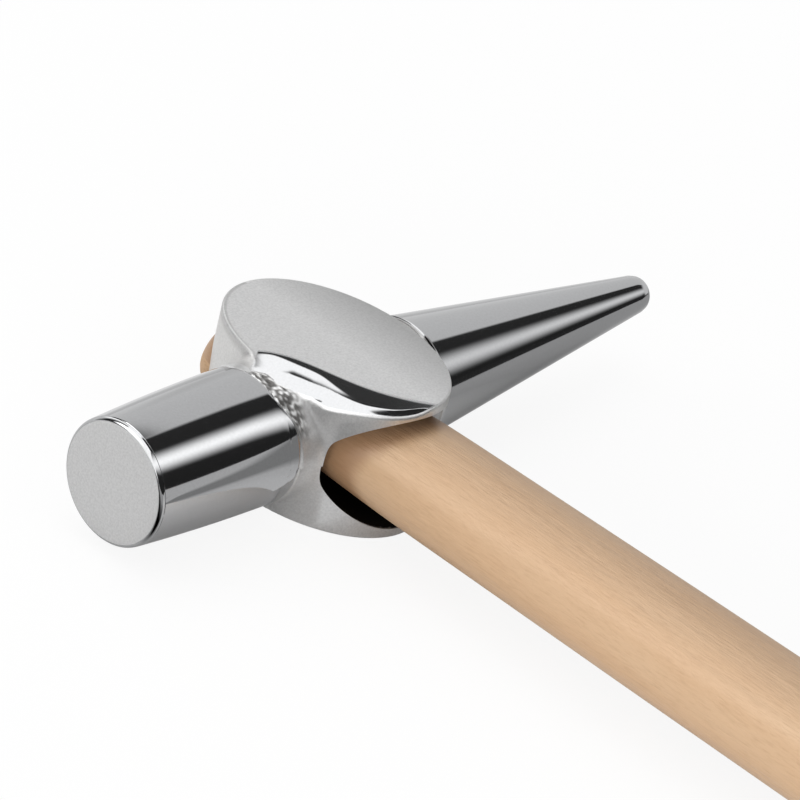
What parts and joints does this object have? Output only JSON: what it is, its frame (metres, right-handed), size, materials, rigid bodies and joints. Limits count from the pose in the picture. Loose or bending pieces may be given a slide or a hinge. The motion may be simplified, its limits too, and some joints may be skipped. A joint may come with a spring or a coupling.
{
  "type": "inspection hammer",
  "caption": "Inspection hammer: forged, plated steel head with a round poll, an oval flat-cheeked eye and a long blunt conical pein, on a straight oval wooden handle.",
  "frame": {"origin": "centre of the lower flat cheek of the eye body, the face the head lies on", "axes": "+X along the head from the poll to the pein's tip, -Y along the handle to its butt, +Z square to the cheeks, out of the cheek with the buffed shoulder"},
  "size_m": [0.1185, 0.3001, 0.0224],
  "materials": {
    "head": "bright plating over ground forging",
    "handle": "satin lacquered beech",
    "wood_wedge": "bare hardwood",
    "steel_wedge": "plain cold-formed steel"
  },
  "bodies": {
    "root": {"head": "head", "handle": "handle", "wood_wedge": "wood_wedge", "steel_wedge": "steel_wedge"}
  },
  "joints": []
}
